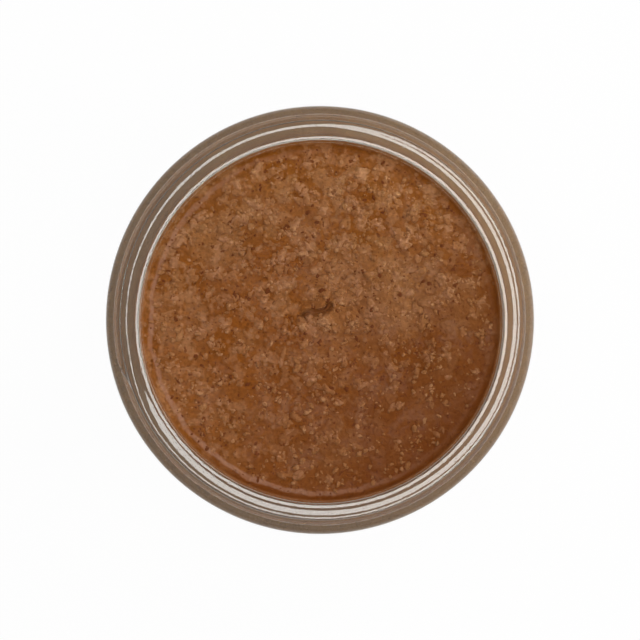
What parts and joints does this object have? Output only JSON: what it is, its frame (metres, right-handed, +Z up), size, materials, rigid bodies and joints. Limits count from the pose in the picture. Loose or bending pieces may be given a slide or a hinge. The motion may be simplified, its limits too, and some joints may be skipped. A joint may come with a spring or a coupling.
{
  "type": "almond butter jar",
  "caption": "Open straight-sided clear glass jar with a wide screw-top mouth, filled almost to the neck with almond butter.",
  "frame": {"origin": "centre of the ring that the jar stands on, at table level", "axes": "+Z up along the jar's axis, towards its open mouth; +X and +Y are equal directions round the jar"},
  "size_m": [0.0734, 0.0734, 0.108],
  "materials": {
    "jar_glass": "clear pressed and blown container glass, glossy",
    "nut_butter": "thick ground almond butter, grainy with a thin film of its own oil"
  },
  "bodies": {
    "root": {"jar": "jar_glass", "almond_butter": "nut_butter"}
  },
  "joints": []
}
